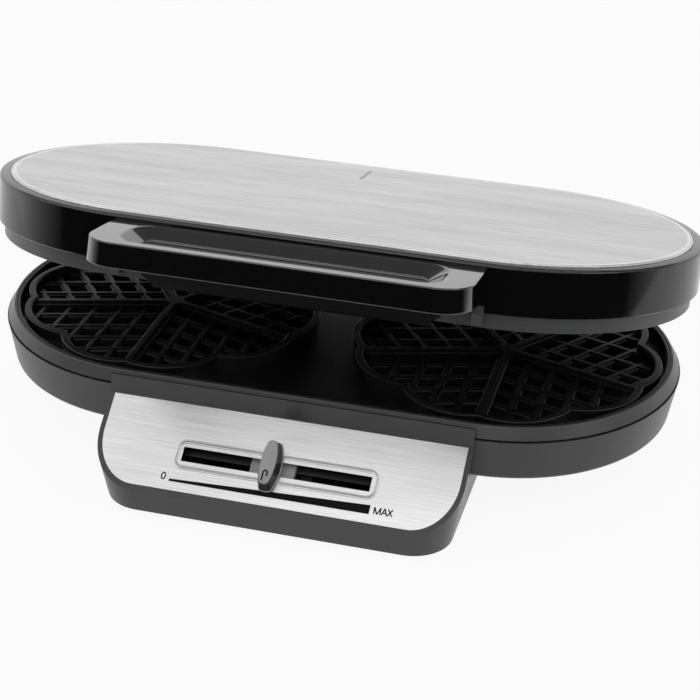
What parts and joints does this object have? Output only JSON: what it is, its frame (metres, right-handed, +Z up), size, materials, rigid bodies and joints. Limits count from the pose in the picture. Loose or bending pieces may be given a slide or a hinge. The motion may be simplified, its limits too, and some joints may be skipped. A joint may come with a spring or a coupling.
{
  "type": "waffle maker",
  "caption": "Twin heart waffle maker with an oval clamshell, cast scalloped plates, a floating rear hinge, a loop handle and a slide heat control on a front console.",
  "frame": {"origin": "middle of the whole object's footprint, on the worktop under the rubber feet", "axes": "+X to the right along the long side, +Y from the console to the hinge, +Z up"},
  "size_m": [0.3876, 0.2652, 0.1531],
  "materials": {
    "housing_dark": "satin dark grey moulding",
    "trim_grey": "satin grey moulding",
    "nonstick": "black non-stick coating on a cast plate",
    "heater_tube": "oxidised sheath",
    "reflector": "bright pressed sheet",
    "screw_steel": "zinc plated",
    "fuse_ceramic": "white ceramic",
    "copper_tube": "drawn copper tube",
    "fascia_steel": "brushed across",
    "inner_black": "black moulding",
    "control_grey": "satin grey moulding",
    "plunger_brass": "turned",
    "terminal_white": "heat resistant moulding",
    "cover_black": "black moulding",
    "foot_rubber": "soft black rubber",
    "gland_rubber": "moulded strain relief",
    "lid_gloss": "black, high gloss",
    "cover_steel": "brushed lengthwise",
    "handle_gloss": "black, high gloss",
    "lens_red": "clear red",
    "lens_green": "clear green",
    "lamp_glass": "clear glass bulb"
  },
  "bodies": {
    "base": {"base_tub": "housing_dark", "lower_trim_ring": "trim_grey", "lower_plate": "nonstick", "lower_heater": "heater_tube", "lower_reflector": "reflector", "lower_plate_screws": "screw_steel", "thermal_fuse": "fuse_ceramic", "sensor_tube": "copper_tube", "console_housing": "housing_dark", "fascia_plate": "fascia_steel", "slider_guide": "inner_black", "thermostat_body": "fuse_ceramic", "thermostat_bracket": "reflector", "terminal_block": "terminal_white", "base_cover": "cover_black", "cover_screws": "screw_steel", "rubber_feet": "foot_rubber", "cable_gland": "gland_rubber", "hinge_brackets": "housing_dark"},
    "slider": {"slider_knob": "control_grey", "slider_carriage": "control_grey"},
    "plunger": {"thermostat_plunger": "plunger_brass"},
    "pins": {"hinge_pins": "screw_steel"},
    "lid": {"lid_shell": "lid_gloss", "hinge_arms": "housing_dark", "steel_cover": "cover_steel", "lid_trim_ring": "trim_grey", "upper_plate": "nonstick", "upper_heater": "heater_tube", "upper_reflector": "reflector", "upper_plate_screws": "screw_steel", "handle": "handle_gloss", "grip_block": "handle_gloss", "handle_screws": "screw_steel", "red_lens": "lens_red", "green_lens": "lens_green", "lamp_holder": "terminal_white", "signal_lamps": "lamp_glass"}
  },
  "joints": [
    {"name": "lid_hinge", "type": "hinge", "parent": "base", "child": "pins", "pos_m": [0, 0.1245, 0.0668], "axis": [-1, 0, 0], "range_deg": [-11.13, 82]},
    {"name": "hinge_float", "type": "slide", "parent": "pins", "child": "lid", "axis": [0, 0.193, 0.9812], "range_m": [-0.0127, 0.0008]},
    {"name": "heat_slider", "type": "slide", "parent": "base", "child": "slider", "axis": [1, 0, 0], "range_m": [-0.0415, 0.0465]},
    {"name": "thermostat_push", "type": "slide", "parent": "base", "child": "plunger", "axis": [0, -0.6018, 0.7986], "range_m": [-0.0021, 0.0022]}
  ],
  "couplings": [
    {"joint": "thermostat_push", "follows": "heat_slider", "ratio": 0.045}
  ]
}
